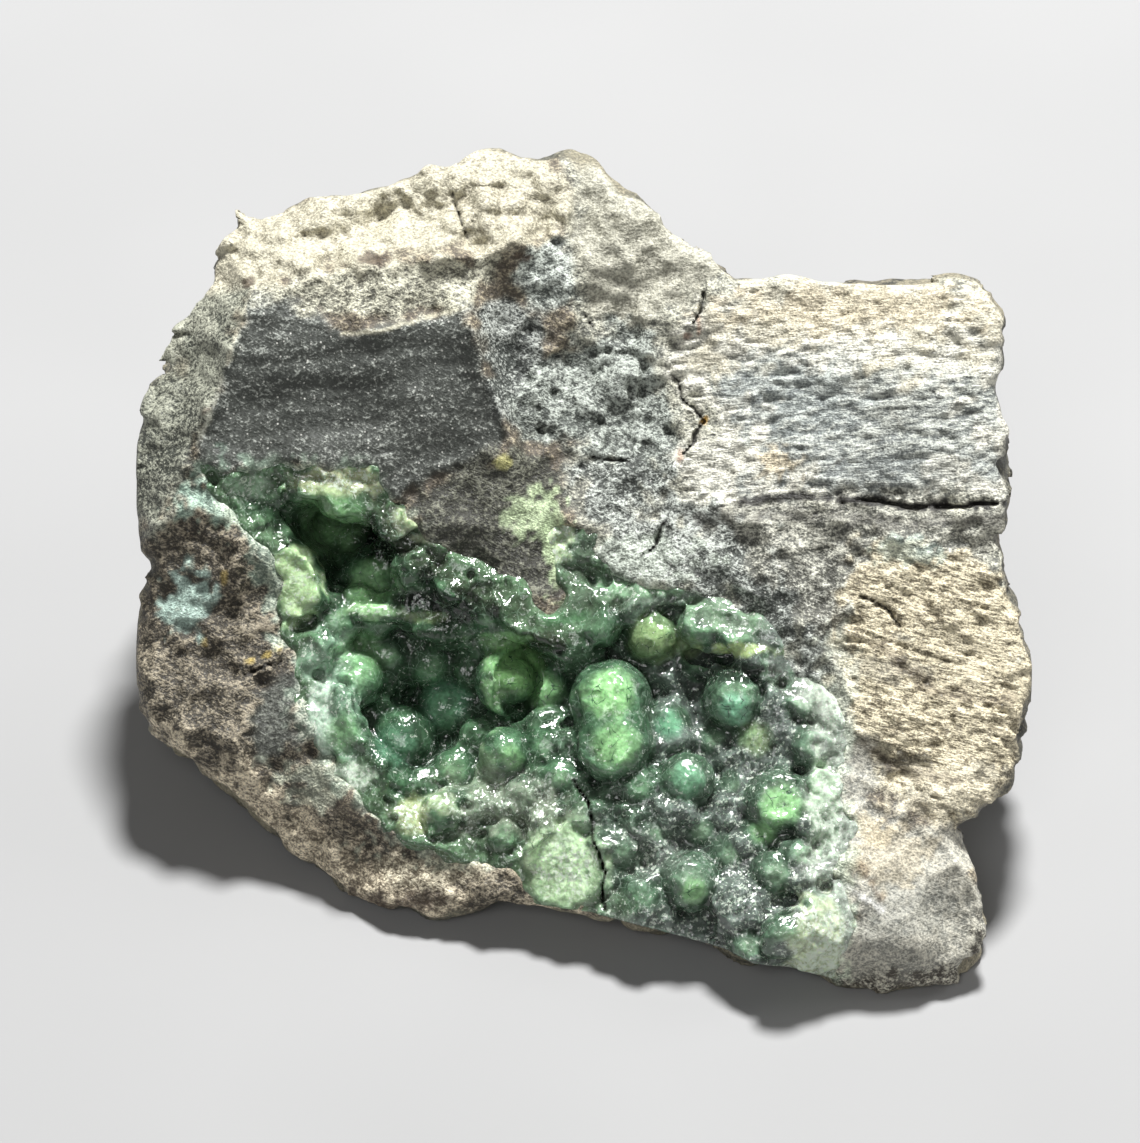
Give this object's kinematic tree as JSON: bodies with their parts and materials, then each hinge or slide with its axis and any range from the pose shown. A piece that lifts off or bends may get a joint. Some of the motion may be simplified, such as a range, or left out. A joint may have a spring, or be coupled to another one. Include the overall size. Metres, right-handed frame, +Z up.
{
  "type": "wavellite specimen",
  "caption": "Lump of layered grey rock on a flat parting face, with an open hollow in its sloping display face lined by one crust of green wavellite balls.",
  "frame": {"origin": "on the resting face, below the middle of the display face", "axes": "+Z up from the resting face, the display face looks up and towards -Y, +X to its right"},
  "size_m": [0.0644, 0.0576, 0.0374],
  "materials": {
    "rock": "dull broken rock, dark grey to tan",
    "wavellite": "glassy, translucent green"
  },
  "bodies": {
    "root": {"matrix": "rock", "wavellite_crust": "wavellite"}
  },
  "joints": []
}
